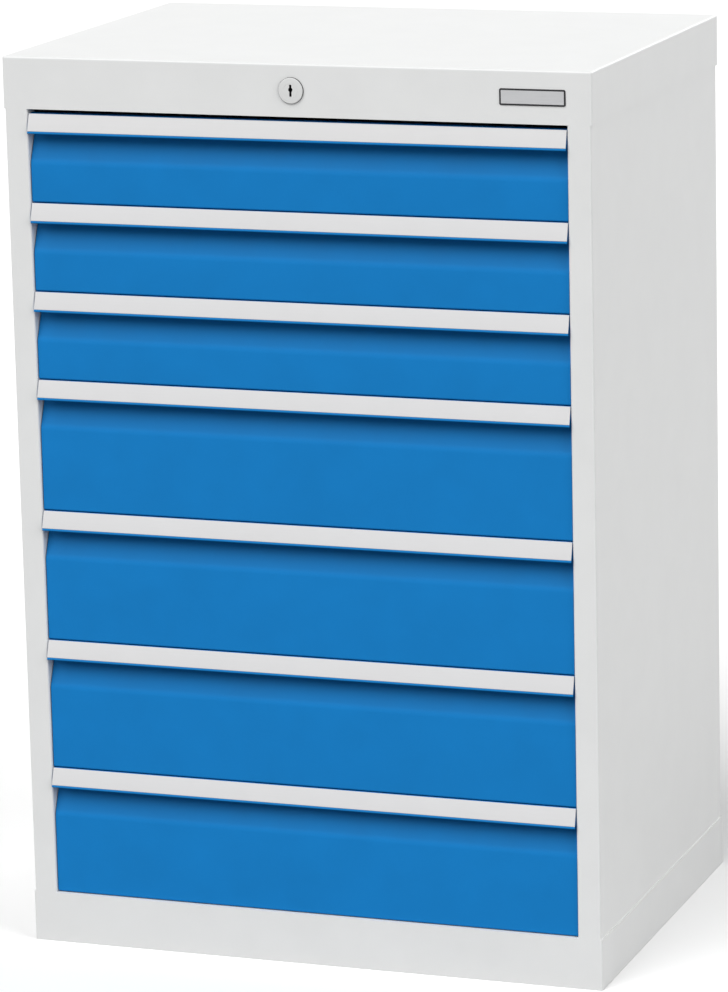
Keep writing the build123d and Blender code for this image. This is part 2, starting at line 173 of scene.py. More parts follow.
class ShaderTree:
    """The nodes of a material or of the world, with one method that adds any node."""

    MIX_FACTOR = 0
    MIX_COLOURS = (6, 7)
    MIX_COLOUR_RESULT = 2
    RAYS_THAT_SEE = ("Is Camera Ray", "Is Glossy Ray", "Is Transmission Ray")

    def __init__(self, owner: Union[bpy.types.Material, bpy.types.World]) -> None:
        """Start with no nodes.

        Args:
            owner: The material or the world that gets the nodes.
        """
        owner.use_nodes = True
        self.owner = owner
        self.tree = owner.node_tree
        self.tree.nodes.clear()

    def add(self, kind: str, settings: dict[str, object], sockets: dict[object, Operand]) -> bpy.types.Node:
        """Add a node, with its settings first and then its inputs.

        Args:
            kind: The node's type.
            settings: Its options by name.
            sockets: Values or signals for its inputs, by name or by number.

        Returns:
            The new node.
        """
        node = self.tree.nodes.new(kind)
        for option, value in settings.items():
            setattr(node, option, value)
        for key, value in sockets.items():
            if isinstance(value, Signal):
                self.tree.links.new(value.socket, node.inputs[key])
            else:
                node.inputs[key].default_value = value
        return node

    def signal(self, kind: str, output: Union[str, int], settings: dict[str, object],
               sockets: dict[object, Operand]) -> Signal:
        """Add a node and return its output of that name or number."""
        return Signal(self, self.add(kind, settings, sockets).outputs[output])

    def place(self) -> Signal:
        """Return the place on the object, in metres."""
        return self.signal("ShaderNodeTexCoord", "Object", {}, {})

    def scaled(self, place: Signal, scale: Sequence[float]) -> Signal:
        """Return a place, stretched by a factor along each axis."""
        return self.signal("ShaderNodeMapping", "Vector", {}, {"Vector": place, "Scale": scale})

    def split(self, place: Signal) -> list[Signal]:
        """Return the three coordinates of a place."""
        node = self.add("ShaderNodeSeparateXYZ", {}, {"Vector": place})
        return [Signal(self, output) for output in node.outputs]

    def noise(self, place: Signal, size: float, grain: Grain = Grain.SOFT) -> Signal:
        """Add soft noise.

        Args:
            place: Where the noise is read.
            size: The size of its patches, in metres.
            grain: How many finer layers it has.

        Returns:
            Noise around 0.5.
        """
        sockets = {"Vector": place, "Scale": 1 / size, "Detail": grain.value, "Roughness": 0.5}
        return self.signal("ShaderNodeTexNoise", "Fac", {}, sockets)

    def mix(self, factor: Operand, first: Operand, second: Operand) -> Signal:
        """Mix two colours.

        Args:
            factor: The share of the second colour.
            first: The first colour.
            second: The second colour.

        Returns:
            The mixed colour.
        """
        sockets = {self.MIX_FACTOR: factor, self.MIX_COLOURS[0]: first, self.MIX_COLOURS[1]: second}
        return self.signal("ShaderNodeMix", self.MIX_COLOUR_RESULT, {"data_type": "RGBA"}, sockets)

    def tint(self, factor: Signal, colour: Colour, contrast: float, level: float = 1.0) -> Signal:
        """Vary a colour from a little darker to a little lighter.

        Args:
            factor: Where the colour is darkest, at 0, and lightest, at 1.
            colour: The colour in the middle.
            contrast: How far both ends lie from it, as a share.
            level: A factor on the middle.

        Returns:
            The varied colour.
        """
        return self.mix(factor, opaque(colour, level - contrast), opaque(colour, level + contrast))

    def bump(self, height: Signal, depth: float) -> Signal:
        """Turn a height from 0 to 1 into a normal, with the depth in metres that 1 stands for."""
        sockets = {"Strength": 1.0, "Distance": depth, "Height": height}
        return self.signal("ShaderNodeBump", "Normal", {}, sockets)

    def seen(self) -> Signal:
        """Return 1 or more where the camera looks, straight or by way of gloss or glass."""
        rays = self.add("ShaderNodeLightPath", {}, {})
        camera, gloss, glass = (Signal(self, rays.outputs[name]) for name in self.RAYS_THAT_SEE)
        return camera + gloss + glass

    def surface(self, sockets: dict[object, Operand]) -> bpy.types.Material:
        """Close the nodes of a material with a Principled surface.

        Args:
            sockets: Values or signals for the surface's inputs.

        Returns:
            The finished material.
        """
        shader = self.signal("ShaderNodeBsdfPrincipled", "BSDF", {}, sockets)
        self.add("ShaderNodeOutputMaterial", {}, {"Surface": shader})
        return self.owner


def opaque(colour: Colour, level: float = 1.0) -> tuple[float, float, float, float]:
    """Give a colour the fourth value that a socket needs.

    Args:
        colour: Red, green and blue.
        level: A factor on all three.

    Returns:
        The colour with an alpha of 1.
    """
    return (colour[0] * level, colour[1] * level, colour[2] * level, 1.0)


@dataclass(frozen=True)
class PowderCoat:
    """Satin powder coat: orange peel, faint clouds in colour and gloss, and painted shade in recesses."""

    name: str
    colour: Colour
    roughness: float = 0.44
    gloss_clouds: float = 0.1
    colour_clouds: float = 0.025
    cloud_size: float = 45 * MM
    cloud_share: float = 0.7
    speck_size: float = 1.1 * MM
    speck_depth: float = 0.02
    peel_size: float = 1.6 * MM
    peel_depth: float = 0.06 * MM
    specular: float = 0.35
    # The recess fields paint shade: deeper than recess_start the colour is darker by a share.
    recess_start: float = 1.0
    recess_depth: float = 2.5 * MM
    recess_painted_shade: float = 0.0

    def material(self) -> bpy.types.Material:
        """Return the material of this coat."""
        tree = ShaderTree(bpy.data.materials.new(self.name))
        place = tree.place()
        clouds = tree.noise(place, self.cloud_size)
        shade = clouds.blend(tree.noise(place, self.speck_size, Grain.SMOOTH), self.cloud_share)
        contrast = self.colour_clouds + self.speck_depth
        colour = tree.tint(shade, self.colour, contrast)
        # Painted shade: behind recess_start the colour darkens, standing in for the shade in the drawers'
        # recesses.
        if self.recess_painted_shade:
            _, y, _ = tree.split(place)
            inside = y.step(self.recess_start, self.recess_start + self.recess_depth)
            painted_recess_shade = tree.tint(shade, self.colour, contrast, 1 - self.recess_painted_shade)
            colour = tree.mix(inside, colour, painted_recess_shade)
        peel = tree.noise(place, self.peel_size, Grain.SMOOTH)
        return tree.surface({
            "Base Color": colour,
            "Roughness": clouds.swing(self.roughness, self.gloss_clouds),
            "Specular IOR Level": self.specular,
            "Normal": tree.bump(peel, self.peel_depth),
        })


@dataclass(frozen=True)
class ZincPlate:
    """Bright zinc on rolled steel: streaks along the strip and faint clouds of passivation."""

    name: str
    streak: Axis = Axis.Y
    colour: Colour = (0.60, 0.61, 0.60)
    dull_colour: Colour = (0.47, 0.48, 0.46)
    roughness: float = 0.34
    streak_gloss: float = 0.18
    cloud_gloss: float = 0.12
    streak_size: float = 0.9 * MM
    streak_stretch: float = 60.0
    streak_depth: float = 0.012 * MM
    cloud_size: float = 14 * MM
    cloud_share: float = 0.6

    def material(self) -> bpy.types.Material:
        """Return the material of this plating."""
        tree = ShaderTree(bpy.data.materials.new(self.name))
        place = tree.place()
        stretch = [1 / self.streak_stretch if axis is self.streak else 1.0 for axis in Axis]
        streaks = tree.noise(tree.scaled(place, stretch), self.streak_size, Grain.ROUGH)
        clouds = tree.noise(place, self.cloud_size, Grain.ROUGH)
        tone = clouds.blend(streaks, self.cloud_share)
        streaked = streaks.swing(self.roughness, self.streak_gloss)
        return tree.surface({
            "Base Color": tree.mix(tone, opaque(self.dull_colour), opaque(self.colour)),
            "Metallic": 1.0,
            "Roughness": clouds.swing(streaked, self.cloud_gloss),
            "Normal": tree.bump(streaks, self.streak_depth),
        })


@dataclass(frozen=True)
class StripPlastic:
    """Pale extruded strip with faint draw lines along its length."""

    name: str
    colour: Colour
    contrast: float = 0.04
    roughness: float = 0.48
    specular: float = 0.35
    line_size: float = 0.7 * MM
    line_stretch: float = 400.0
    line_depth: float = 0.008 * MM
    line_gloss: float = 0.08
    line_share: float = 0.5
    cloud_size: float = 30 * MM

    def material(self) -> bpy.types.Material:
        """Return the material of the strip."""
        tree = ShaderTree(bpy.data.materials.new(self.name))
        place = tree.place()
        lines = tree.noise(tree.scaled(place, (1 / self.line_stretch, 1.0, 1.0)), self.line_size)
        shade = lines.blend(tree.noise(place, self.cloud_size), self.line_share)
        return tree.surface({
            "Base Color": tree.tint(shade, self.colour, self.contrast),
            "Roughness": lines.swing(self.roughness, self.line_gloss),
            "Specular IOR Level": self.specular,
            "Normal": tree.bump(lines, self.line_depth),
        })


@dataclass(frozen=True)
class TurnedMetal:
    """Matt plated lock metal with fine rings from the lathe, and painted shade, near-black, inside the
    keyhole.
    """

    name: str
    centre: Vector
    face: float
    colour: Colour = (0.63, 0.635, 0.63)
    contrast: float = 0.05
    roughness: float = 0.46
    metallic: float = 0.25
    ring_size: float = 0.35 * MM
    ring_depth: float = 0.01 * MM
    ring_gloss: float = 0.12
    # Painted shade: the near-black colour of the walls inside the keyhole.
    keyhole_painted_shade: Colour = (0.012, 0.012, 0.013)
    keyhole_edge: float = 0.5 * MM
    keyhole_dulling: float = 0.4

    def material(self) -> bpy.types.Material:
        """Return the material of the turned pieces."""
        tree = ShaderTree(bpy.data.materials.new(self.name))
        x, y, z = tree.split(tree.place())
        radius = ((x - self.centre.x) ** 2.0 + (z - self.centre.z) ** 2.0) ** 0.5
        rings = tree.signal("ShaderNodeTexNoise", "Fac", {"noise_dimensions": "1D"},
                            {"W": radius, "Scale": 1 / self.ring_size, "Detail": Grain.SOFT.value})
        # Painted shade: the core's surfaces deeper than its face, inside the keyhole, turn near-black.
        inside = y.step(self.face, self.face + self.keyhole_edge)
        metal = tree.tint(rings, self.colour, self.contrast)
        return tree.surface({
            "Base Color": tree.mix(inside, metal, opaque(self.keyhole_painted_shade)),
            "Metallic": self.metallic * (1.0 - inside),
            "Roughness": rings.swing(self.roughness, self.ring_gloss) + self.keyhole_dulling * inside,
            "Normal": tree.bump(rings, self.ring_depth),
        })


@dataclass(frozen=True)
class BrushedPlate:
    """Brushed aluminium, with its scratches along X."""

    name: str
    colour: Colour
    contrast: float = 0.12
    metallic: float = 0.4
    roughness: float = 0.4
    scratch_size: float = 0.25 * MM
    scratch_stretch: float = 70.0
    scratch_depth: float = 0.006 * MM
    scratch_gloss: float = 0.2
    scratch_share: float = 0.7
    cloud_size: float = 9 * MM

    def material(self) -> bpy.types.Material:
        """Return the material of the plate."""
        tree = ShaderTree(bpy.data.materials.new(self.name))
        place = tree.place()
        along = tree.scaled(place, (1 / self.scratch_stretch, 1.0, 1.0))
        scratches = tree.noise(along, self.scratch_size, Grain.ROUGH)
        tone = scratches.blend(tree.noise(place, self.cloud_size), self.scratch_share)
        return tree.surface({
            "Base Color": tree.tint(tone, self.colour, self.contrast),
            "Metallic": self.metallic,
            "Roughness": scratches.swing(self.roughness, self.scratch_gloss),
            "Normal": tree.bump(scratches, self.scratch_depth),
        })


class FinishShelf:
    """Every finish of the cabinet, each made into a material once."""

    def __init__(self, lock_centre: Vector, lock_face: float, drawer_face: float) -> None:
        """Make the materials.

        Args:
            lock_centre: The middle of the lock.
            lock_face: The depth of the lock's face, behind which the keyhole gets painted shade.
            drawer_face: The depth of the drawers' faces, behind which their recesses lie and get painted
                shade.
        """
        self.grey_coat = PowderCoat("light_grey_powder_coat", (0.742, 0.748, 0.745)).material()
        self.tray_coat = PowderCoat("tray_powder_coat", (0.60, 0.61, 0.605), peel_size=1.2 * MM).material()
        # The blue coat is 15% darker behind the drawers' faces: painted shade in their recesses.
        self.blue_coat = PowderCoat("blue_powder_coat", (0.006, 0.190, 0.515), colour_clouds=0.04,
                                    speck_depth=0.05, roughness=0.55, specular=0.1,
                                    recess_start=drawer_face, recess_painted_shade=0.15).material()
        self.strip = StripPlastic("grip_strip", (0.612, 0.610, 0.613)).material()
        self.zinc = ZincPlate("zinc_plate").material()
        self.zinc_upright = ZincPlate("zinc_plate_upright", Axis.Z).material()
        self.ball_steel = ZincPlate("ball_steel", colour=(0.62, 0.62, 0.63), dull_colour=(0.56, 0.56, 0.57),
                                    roughness=0.2, streak_size=0.4 * MM, streak_stretch=1.0,
                                    streak_depth=0.002 * MM).material()
        self.lock_metal = TurnedMetal("lock_metal", lock_centre, lock_face).material()
        self.plate_field = BrushedPlate("plate_field", (0.50, 0.505, 0.515)).material()
        self.plate_border = BrushedPlate("plate_border", (0.012, 0.012, 0.014), roughness=0.6).material()


def dress(material: bpy.types.Material, *nodes: str) -> None:
    """Give some CAD nodes their material.

    Args:
        material: Their new material.
        *nodes: The nodes' names.
    """
    for node in nodes:
        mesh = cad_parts[node].data
        mesh.materials.clear()
        mesh.materials.append(material)


@dataclass
class Piece:
    """A mesh piece while it is modelled, with the bmesh operators that the cabinet needs."""

    FOLD_STEP: ClassVar[float] = math.radians(5)
    FEWEST_FOLD_STEPS: ClassVar[int] = 3
    MOST_FOLD_STEPS: ClassVar[int] = 12
    BALL_SEGMENTS: ClassVar[tuple[int, int]] = (8, 6)
    SMOOTH_ANGLE: ClassVar[float] = math.radians(35)

    name: str
    mesh: bmesh.types.BMesh = field(default_factory=bmesh.new)

    def box(self, low: Sequence[float], high: Sequence[float], radius: float = 0.0,
            segments: int = 3) -> None:
        """Add a box, with its edges rounded if a radius is given.

        Args:
            low: The lowest corner.
            high: The highest corner.
            radius: The radius of its edges.
            segments: The steps of each rounded edge.
        """
        size = Vector(high) - Vector(low)
        place = Matrix.Translation((Vector(low) + Vector(high)) / 2) @ Matrix.Diagonal((*size, 1.0))
        corners = bmesh.ops.create_cube(self.mesh, size=1.0, matrix=place)["verts"]
        if radius:
            self.round_edges({edge for corner in corners for edge in corner.link_edges}, radius, segments)

    def take(self, other: bmesh.types.BMesh) -> None:
        """Move all of another mesh into this piece.

        Args:
            other: The other mesh, which is freed.
        """
        data = bpy.data.meshes.new("part")
        other.to_mesh(data)
        other.free()
        self.mesh.from_mesh(data)
        bpy.data.meshes.remove(data)

    def round_edges(self, edges: Iterable[bmesh.types.BMEdge], radius: float, segments: int) -> None:
        """Round some edges.

        Args:
            edges: The edges.
            radius: Their radius.
            segments: The steps of each.
        """
        bmesh.ops.bevel(self.mesh, geom=list(edges), offset=radius, segments=segments, profile=0.5,
                        affect="EDGES", material=-1, clamp_overlap=True)

    def lathe(self, outline: Sequence[tuple[float, float]], centre: Vector,
              steps: int) -> list[bmesh.types.BMVert]:
        """Spin a closed outline about an axis along Y.

        Args:
            outline: Radius and depth along Y of each corner, in order.
            centre: A point on the axis, whose Y the depths are added to.
            steps: The steps of the full turn.

        Returns:
            The new vertices.
        """
        before = set(self.mesh.verts)
        ring = [self.mesh.verts.new(centre + Vector((radius, depth, 0.0))) for radius, depth in outline]
        edges = [self.mesh.edges.new((a, b)) for a, b in zip(ring, ring[1:] + ring[:1])]
        bmesh.ops.spin(self.mesh, geom=ring + edges, cent=centre, axis=Axis.Y.direction, angle=FULL_TURN,
                       steps=steps, use_merge=True)
        bmesh.ops.remove_doubles(self.mesh, verts=[v for v in self.mesh.verts if v not in before], dist=NEAR)
        loose = [edge for edge in self.mesh.edges if not edge.link_faces]
        bmesh.ops.delete(self.mesh, geom=loose, context="EDGES")
        return [v for v in self.mesh.verts if v not in before]

    def _round_folds(self, edges: Sequence[bmesh.types.BMEdge], points: Sequence[Vector],
                     radii: Sequence[float], run: Vector) -> None:
        """Round the folds of an outline that was drawn out along a line.

        Args:
            edges: The edges that may be folds.
            points: The outline's points.
            radii: The radius at each point, or 0 for a sharp one and for the ends of an open outline.
            run: How far the outline was drawn out, and in which direction.
        """
        for i, radius in enumerate(radii):
            if not radius:
                continue
            before, here, after = points[i - 1], points[i], points[(i + 1) % len(points)]
            turn = (here - before).angle(after - here)
            fold = [edge for edge in edges if edge.is_valid
                    and all((vert.co - here).cross(run).length < NEAR * run.length for vert in edge.verts)]
            steps = max(self.FEWEST_FOLD_STEPS, min(self.MOST_FOLD_STEPS, int(turn / self.FOLD_STEP)))
            self.round_edges(fold, radius * math.tan(turn / 2), steps)

    def prism(self, points: Sequence[Vector], radii: Sequence[float], run: Vector) -> None:
        """Add a bar with a rounded outline.

        Args:
            points: The outline at the bar's one end.
            radii: The radius at each point.
            run: The way from this end to the other.
        """
        before = set(self.mesh.edges)
        face = self.mesh.faces.new([self.mesh.verts.new(point) for point in points])
        grown = bmesh.ops.extrude_face_region(self.mesh, geom=[face])["geom"]
        tops = [item for item in grown if isinstance(item, bmesh.types.BMVert)]
        bmesh.ops.translate(self.mesh, verts=tops, vec=run)
        self._round_folds([edge for edge in self.mesh.edges if edge not in before], points, radii, run)

    def folded_sheet(self, points: Sequence[Vector], radii: Sequence[float], run: Vector,
                     thickness: float, outward: Vector) -> None:
        """Add a sheet that is folded at each point.

        Args:
            points: The line of one face, from one edge of the sheet to the other.
            radii: The radius of each fold on that face.
            run: The way along the folds, from this end of the sheet to the other.
            thickness: The sheet's thickness, which lies behind that face.
            outward: The direction that the widest part of that face looks in.
        """
        sheet = Piece("sheet")
        verts = [sheet.mesh.verts.new(point) for point in points]
        edges = [sheet.mesh.edges.new(pair) for pair in zip(verts, verts[1:])]
        grown = bmesh.ops.extrude_edge_only(sheet.mesh, edges=edges)["geom"]
        far = [item for item in grown if isinstance(item, bmesh.types.BMVert)]
        bmesh.ops.translate(sheet.mesh, verts=far, vec=run)
        sheet._round_folds(sheet.mesh.edges[:], points, radii, run)
        self.thicken(sheet.mesh, thickness, outward)

    def thicken(self, sheet: bmesh.types.BMesh, thickness: float, outward: Vector) -> None:
        """Give an open sheet its thickness and take it into this piece.

        Args:
            sheet: The sheet's outer face, which is freed.
            thickness: How far the sheet goes back from it.
            outward: The direction that the widest part of the face looks in.
        """
        bmesh.ops.recalc_face_normals(sheet, faces=sheet.faces)
        widest = max(sheet.faces, key=lambda face: face.calc_area())
        if widest.normal.dot(outward) < 0:
            bmesh.ops.reverse_faces(sheet, faces=sheet.faces)
        bmesh.ops.solidify(sheet, geom=sheet.faces[:], thickness=thickness)
        self.take(sheet)

    def ball_row(self, first: Vector, radius: float, step: Vector, count: int) -> None:
        """Add a row of balls.

        Args:
            first: The middle of the first ball.
            radius: The balls' radius.
            step: The way from one ball to the next.
            count: How many balls there are.
        """
        around, across = self.BALL_SEGMENTS
        row = bmesh.new()
        bmesh.ops.create_uvsphere(row, u_segments=around, v_segments=across, radius=radius,
                                  matrix=Matrix.Translation(first))
        bmesh.ops.spin(row, geom=row.verts[:] + row.edges[:] + row.faces[:], cent=first,
                       axis=Axis.Z.direction, dvec=step, angle=0.0, steps=count - 1, use_duplicate=True)
        self.take(row)

    def finish(self, material: bpy.types.Material, body: str,
               replaces: Sequence[str] = ()) -> bpy.types.Object:
        """Turn the piece into an object that rides on its body.

        Args:
            material: The piece's material.
            body: The CAD body that it rides on.
            replaces: The CAD nodes that it stands for.

        Returns:
            The finished object.
        """
        bmesh.ops.recalc_face_normals(self.mesh, faces=self.mesh.faces)
        for edge in self.mesh.edges:
            edge.smooth = edge.calc_face_angle(math.pi) < self.SMOOTH_ANGLE
        for face in self.mesh.faces:
            face.smooth = True
        obj = self.show(material)
        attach(obj, body)
        if replaces:
            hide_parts(*replaces)
        log.info("%s: %d faces on %s", self.name, len(obj.data.polygons), body)
        return obj

    def show(self, material: bpy.types.Material) -> bpy.types.Object:
        """Put the piece into the scene as it is.

        Args:
            material: The piece's material.

        Returns:
            The new object.
        """
        data = bpy.data.meshes.new(self.name)
        self.mesh.to_mesh(data)
        self.mesh.free()
        data.materials.append(material)
        obj = bpy.data.objects.new(self.name, data)
        bpy.context.scene.collection.objects.link(obj)
        return obj


@dataclass
class Housing:
    """The painted shell, its inner posts and fixed runners, and the rivets of its back."""

    finishes: FinishShelf
    rivet_radius: float = 4.5 * MM
    rivet_height: float = 1.4 * MM
    rivet_dome: tuple[tuple[float, float], ...] = (
        (0.0, 1.0), (0.55, 0.85), (0.88, 0.5), (1.0, 0.0), (0.0, 0.0))
    rivet_inset: float = 11.0 * MM
    rivet_rows: int = 6
    rivet_margin: float = 45.0 * MM
    rivet_steps: int = 20

    def rivets(self) -> None:
        """Add the domed blind rivets that hold the back panel to the sides."""
        low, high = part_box("back_panel")
        piece = Piece("back_rivets")
        dome = [(out * self.rivet_radius, up * self.rivet_height) for out, up in self.rivet_dome]
        span = high.z - low.z - 2 * self.rivet_margin
        for side in (low.x + self.rivet_inset, high.x - self.rivet_inset):
            for row in range(self.rivet_rows):
                height = low.z + self.rivet_margin + span * row / (self.rivet_rows - 1)
                piece.lathe(dome, Vector((side, high.y, height)), self.rivet_steps)
        piece.finish(self.finishes.grey_coat, CABINET)

    def build(self) -> None:
        """Give the shell, the fixed runners and the posts their finishes, and add the rivets."""
        dress(self.finishes.grey_coat, "side_panel_left", "side_panel_right", "back_panel", "top_cover",
              "base_plinth")
        dress(self.finishes.zinc, "cabinet_runners_left", "cabinet_runners_right")
        dress(self.finishes.zinc_upright, "uprights")
        self.rivets()


@dataclass
class CentralLock:
    """The lock in the cover's band and the gear behind it."""

    finishes: FinishShelf
    barrel_step: float = 3.5 * MM
    rim_radius: float = 1.0 * MM
    rim_segments: int = 5
    rim_play: float = 0.01 * MM
    bore_gap: float = 0.06 * MM
    steps: int = 96

    def flange(self) -> None:
        """Build the lock's flange and barrel with a softly rounded rim."""
        low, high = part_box("lock_housing")
        core_low, core_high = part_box("lock_core")
        cover_low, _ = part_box("top_cover")
        centre = Vector(((low.x + high.x) / 2, low.y, (low.z + high.z) / 2))
        outer = (high.x - low.x) / 2
        bore = (core_high.x - core_low.x) / 2 + self.bore_gap
        back = cover_low.y - low.y
        barrel = outer - self.barrel_step
        length = high.y - low.y
        piece = Piece("lock_flange")
        verts = piece.lathe([(bore, 0.0), (outer, 0.0), (outer, back), (barrel, back), (barrel, length),
                             (bore, length)], centre, self.steps)
        outside = {v for v in verts if v.co.y < low.y + NEAR
                   and math.hypot(v.co.x - centre.x, v.co.z - centre.z) > outer - self.rim_play}
        rim = {edge for v in outside for edge in v.link_edges if edge.other_vert(v) in outside}
        piece.round_edges(rim, self.rim_radius, self.rim_segments)
        piece.finish(self.finishes.lock_metal, CABINET, ["lock_housing"])

    def build(self) -> None:
        """Give the core, the gear and the bar their finishes, and make the flange."""
        dress(self.finishes.lock_metal, "lock_core")
        dress(self.finishes.zinc, "lock_nut", "lock_shaft", "lock_crank", "lock_shaft_bearing",
              "lock_bar_guides")
        dress(self.finishes.zinc_upright, "lock_bar")
        self.flange()


@dataclass
class NamePlate:
    """The bare plate on the cover's band: a silver field in a thin dark border."""

    finishes: FinishShelf
    border: float = 1.8 * MM
    corner: float = 2.0 * MM
    corner_segments: int = 6
    recess: float = 0.25 * MM
    recess_wall: float = 0.02 * MM
    edge_radius: float = 0.15 * MM
    edge_segments: int = 2
    field_gap: float = 0.03 * MM
    field_sheet: float = 0.4 * MM

    def _rounded_plate(self, piece: Piece, low: Vector, high: Vector, corner: float) -> None:
        """Add a plate with rounded corners.

        Args:
            piece: The piece that gets the plate.
            low: The plate's lowest corner.
            high: The plate's highest corner.
            corner: The radius of its four corners.
        """
        piece.box(low, high)
        deep = [edge for edge in piece.mesh.edges
                if abs((edge.verts[0].co - edge.verts[1].co).normalized().y) > ALIGNED]
        piece.round_edges(deep, corner, self.corner_segments)

    def rim(self) -> None:
        """Make the border, with its inside set back."""
        low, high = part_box("name_plate")
        piece = Piece("name_plate_border")
        self._rounded_plate(piece, low, high, self.corner)
        front = [edge for edge in piece.mesh.edges if all(v.co.y < low.y + NEAR for v in edge.verts)]
        piece.round_edges(front, self.edge_radius, self.edge_segments)
        face = max((face for face in piece.mesh.faces if face.normal.y < -ALIGNED),
                   key=lambda face: face.calc_area())
        for thickness, depth in ((self.border - self.edge_radius, 0.0), (self.recess_wall, -self.recess)):
            bmesh.ops.inset_region(piece.mesh, faces=[face], thickness=thickness, depth=depth,
                                   use_even_offset=True)
        piece.finish(self.finishes.plate_border, CABINET, ["name_plate"])

    def field(self) -> None:
        """Make the field inside the border."""
        low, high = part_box("name_plate")
        inset = Vector((self.border + self.field_gap, 0.0, self.border + self.field_gap))
        field_low = low + inset + Axis.Y.direction * self.recess / 2
        field_high = Vector((high.x - inset.x, field_low.y + self.field_sheet, high.z - inset.z))
        piece = Piece("name_plate_field")
        self._rounded_plate(piece, field_low, field_high, self.corner - self.border)
        piece.finish(self.finishes.plate_field, CABINET)

    def build(self) -> None:
        """Make the border and the field."""
        self.rim()
        self.field()


@dataclass
class DrawerFront:
    """The folded front of one drawer with its label strip, welded cheeks and hemmed grip."""

    number: int
    finishes: FinishShelf
    front_plane: float
    sheet: float = 1.0 * MM
    set_back: float = 3.5 * MM
    tray_front: float = 19.0 * MM
    flange: float = 12.0 * MM
    recess_back: float = 18.0 * MM
    recess_lean: float = 1.0 * MM
    recess_height: float = 54.5 * MM
    slope_height: float = 32.8 * MM
    fold_radius: float = 2.0 * MM
    inner_radius: float = 1.0 * MM
    slope_radius: float = 18.0 * MM
    recess_radius: float = 4.0 * MM
    web_set_back: float = 3.3 * MM
    tilt: float = math.radians(17.4)
    grip_length: float = 22.7 * MM
    hem_height: float = 2.4 * MM
    hem_thickness: float = 1.1 * MM
    hem_radii: tuple[float, ...] = (0.0, 0.85 * MM, 1.2 * MM, 0.9 * MM)
    strip_width: float = 20.0 * MM
    strip_thickness: float = 1.2 * MM
    strip_gap: float = 0.1 * MM
    strip_edge: float = 0.35 * MM
    cheek_inset: float = 0.05 * MM
    cheek_radius: float = 1.5 * MM

    def __post_init__(self) -> None:
        """Name the drawer's body and find where its front lies."""
        self.body = f"drawer_{self.number}"
        self.low, self.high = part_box(f"{self.body}_front")
        self.width = Axis.X.direction * (self.high.x - self.low.x)

    def _at(self, x: float, point: tuple[float, float]) -> Vector:
        """Return a place from a distance across and a point's depth and height."""
        return Vector((x, self.front_plane + point[0], point[1]))

    def _grip(self, along: float, out: float) -> tuple[float, float]:
        """Find a point beside the tilted grip.

        Args:
            along: The distance down the grip.
            out: The distance out of its face.

        Returns:
            The point's depth behind the front plane, and its height.
        """
        back = self.web_set_back - along * math.sin(self.tilt) - out * math.cos(self.tilt)
        return (back, self.high.z - along * math.cos(self.tilt) + out * math.sin(self.tilt))

    def _grip_bar(self, piece: Piece, span: tuple[float, float], out: tuple[float, float],
                  radii: Sequence[float]) -> None:
        """Add a bar that lies along the grip.

        Args:
            piece: The piece that gets the bar.
            span: Where the bar starts and ends, down the grip.
            out: How far its two faces stand out of the grip's face.
            radii: The radius of each corner.
        """
        corners = [(span[0], out[0]), (span[1], out[0]), (span[1], out[1]), (span[0], out[1])]
        piece.prism([self._at(self.low.x, self._grip(*corner)) for corner in corners], radii, self.width)

    def _sheet(self, piece: Piece) -> None:
        """Add the one folded sheet: flanges, face, recess, web and grip.

        Args:
            piece: The piece that gets the sheet.
        """
        top, bottom = self.high.z, self.low.z
        under = top - self.sheet
        grip_top = self._grip(self.sheet, -self.sheet)
        corner = (grip_top[0] + (under - grip_top[1]) * math.tan(self.tilt), under)
        slope_top = top - self.recess_height + self.slope_height
        outline = [((self.tray_front, bottom + self.flange), 0.0),
                   ((self.tray_front, bottom), self.fold_radius),
                   ((self.set_back, bottom), self.fold_radius),
                   ((self.set_back, top - self.recess_height), self.slope_radius),
                   ((self.recess_back - self.recess_lean, slope_top), self.recess_radius),
                   ((self.recess_back, under), self.inner_radius),
                   (corner, self.inner_radius),
                   (self._grip(self.grip_length - self.hem_height, -self.sheet), 0.0)]
        points = [self._at(self.low.x, point) for point, _ in outline]
        piece.folded_sheet(points, [radius for _, radius in outline], self.width, self.sheet,
                           -Axis.Y.direction)

    def _cheeks(self, piece: Piece) -> None:
        """Add the two end plates behind the face.

        Args:
            piece: The piece that gets the plates.
        """
        inset = self.sheet / 2
        face = self.set_back + inset
        foot, web = self.low.z + inset, self.high.z - inset
        slope_foot = self.high.z - self.recess_height
        slope_back = self.recess_back - self.recess_lean + inset
        corners = [((face, foot), self.cheek_radius), ((face, slope_foot), self.slope_radius),
                   ((slope_back, slope_foot + self.slope_height), 0.0),
                   ((self.recess_back + inset, web), 0.0), ((self.tray_front, web), 0.0),
                   ((self.tray_front, foot), 0.0)]
        for start in (self.low.x + self.cheek_inset, self.high.x - self.sheet - self.cheek_inset):
            points = [self._at(start, point) for point, _ in corners]
            piece.prism(points, [radius for _, radius in corners], Axis.X.direction * self.sheet)

    def front(self) -> None:
        """Build the folded front."""
        piece = Piece(f"{self.body}_folded_front")
        self._sheet(piece)
        hem = (self.grip_length - self.hem_height, self.grip_length)
        self._grip_bar(piece, hem, (-self.sheet, self.hem_thickness), self.hem_radii)
        self._cheeks(piece)
        piece.finish(self.finishes.blue_coat, self.body, [f"{self.body}_front"])

    def strip(self) -> None:
        """Build the label strip with softly rounded edges."""
        end = self.grip_length - self.hem_height - self.strip_gap
        piece = Piece(f"{self.body}_strip")
        self._grip_bar(piece, (end - self.strip_width, end), (0.0, self.strip_thickness),
                       [0.0, 0.0, self.strip_edge, self.strip_edge])
        piece.finish(self.finishes.strip, self.body, [f"{self.body}_label_strip"])

    def build(self) -> None:
        """Make the front and its strip."""
        self.front()
        self.strip()


